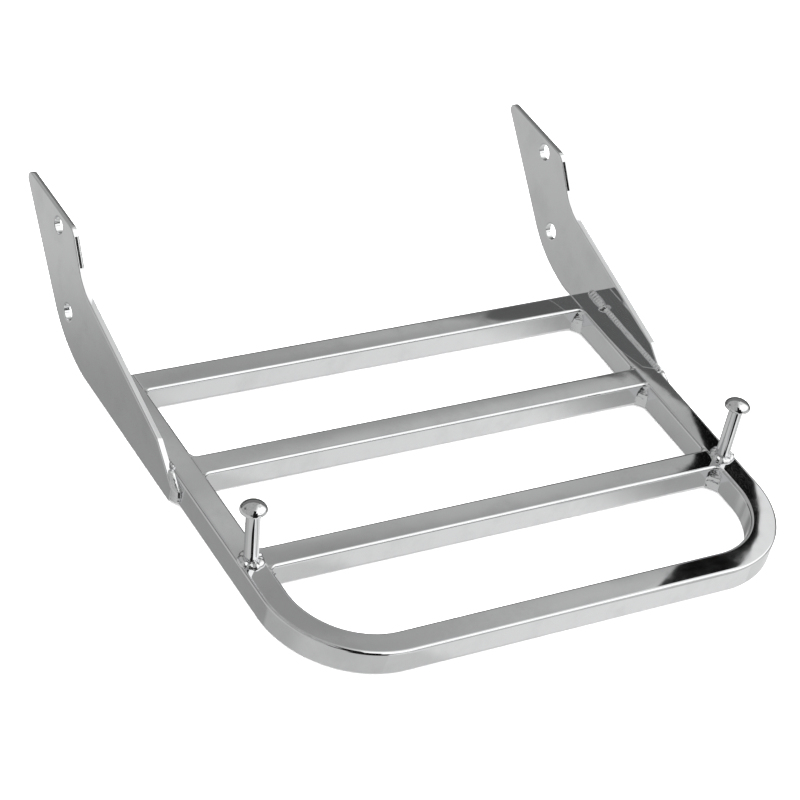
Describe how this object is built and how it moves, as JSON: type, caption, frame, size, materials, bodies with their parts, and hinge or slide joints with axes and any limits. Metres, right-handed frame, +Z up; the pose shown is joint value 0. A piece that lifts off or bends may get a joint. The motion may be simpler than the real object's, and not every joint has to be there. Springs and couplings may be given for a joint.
{
  "type": "luggage rack",
  "caption": "Rigid chrome luggage rack for a motorcycle: U-bent square-bar rail with crossbars, upright plates that bolt to the backrest, and headed tie-down posts.",
  "frame": {"origin": "on the resting surface, under the middle of the whole rack's box", "axes": "+X to the right, +Y forward to the motorcycle, the way the side plates reach, +Z up through the deck"},
  "size_m": [0.2764, 0.2984, 0.0608],
  "materials": {
    "chrome_rail": "polished chrome plating on square steel bar, faint polishing waves",
    "chrome_plate": "polished chrome plating on flat steel plate",
    "chrome_post": "polished chrome plating on turned steel",
    "chrome_weld": "chrome plated weld bead, rippled and left as laid"
  },
  "bodies": {
    "root": {"outer_rail": "chrome_rail", "front_crossbar": "chrome_rail", "middle_crossbar": "chrome_rail", "rear_crossbar": "chrome_rail", "left_side_plate": "chrome_plate", "right_side_plate": "chrome_plate", "left_tie_down_post": "chrome_post", "right_tie_down_post": "chrome_post", "left_post_ring_weld": "chrome_weld", "right_post_ring_weld": "chrome_weld", "left_plate_start_weld": "chrome_weld", "right_plate_start_weld": "chrome_weld", "left_plate_long_weld": "chrome_weld", "right_plate_long_weld": "chrome_weld", "left_plate_end_weld": "chrome_weld", "right_plate_end_weld": "chrome_weld", "left_front_bar_rear_weld": "chrome_weld", "right_front_bar_rear_weld": "chrome_weld", "left_middle_bar_front_weld": "chrome_weld", "right_middle_bar_front_weld": "chrome_weld", "left_middle_bar_rear_weld": "chrome_weld", "right_middle_bar_rear_weld": "chrome_weld", "left_rear_bar_front_weld": "chrome_weld", "right_rear_bar_front_weld": "chrome_weld", "left_rear_bar_rear_weld": "chrome_weld", "right_rear_bar_rear_weld": "chrome_weld"}
  },
  "joints": []
}
